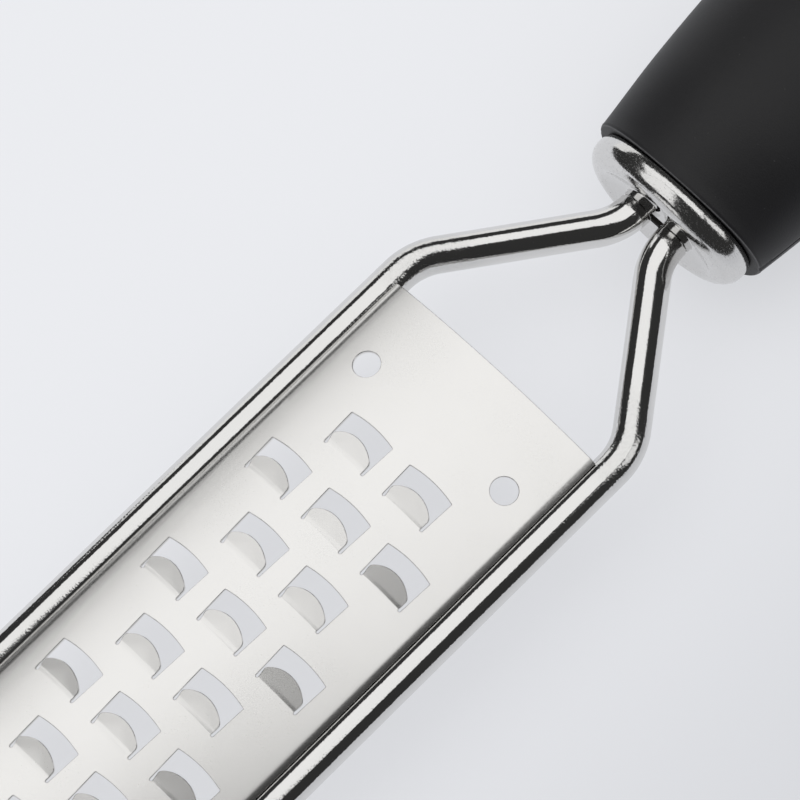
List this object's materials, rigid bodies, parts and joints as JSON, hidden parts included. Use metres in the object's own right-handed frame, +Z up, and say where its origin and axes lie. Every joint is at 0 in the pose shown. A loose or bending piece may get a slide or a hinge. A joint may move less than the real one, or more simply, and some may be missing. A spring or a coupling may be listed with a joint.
{
  "type": "coarse grater",
  "caption": "Hand-held coarse grater: an arched steel blade with raised cutting tongues in a bent rod frame, with a ferrule and a soft oval handle.",
  "frame": {"origin": "centre of the overall box: halfway along the grater, in the middle plane of the rod frame and the handle", "axes": "+X along the grater towards the handle, +Y across the blade, +Z up out of the cutting side"},
  "size_m": [0.315, 0.0422, 0.026],
  "materials": {
    "blade_steel": "satin stainless sheet",
    "rod_steel": "bright polished stainless rod",
    "ferrule_steel": "bright polished stainless",
    "core_plastic": "moulded black plastic",
    "grip_rubber": "matte soft-touch black"
  },
  "bodies": {
    "root": {"grater_blade": "blade_steel", "wire_frame": "rod_steel", "ferrule": "ferrule_steel", "handle_core": "core_plastic", "handle_grip": "grip_rubber"}
  },
  "joints": []
}
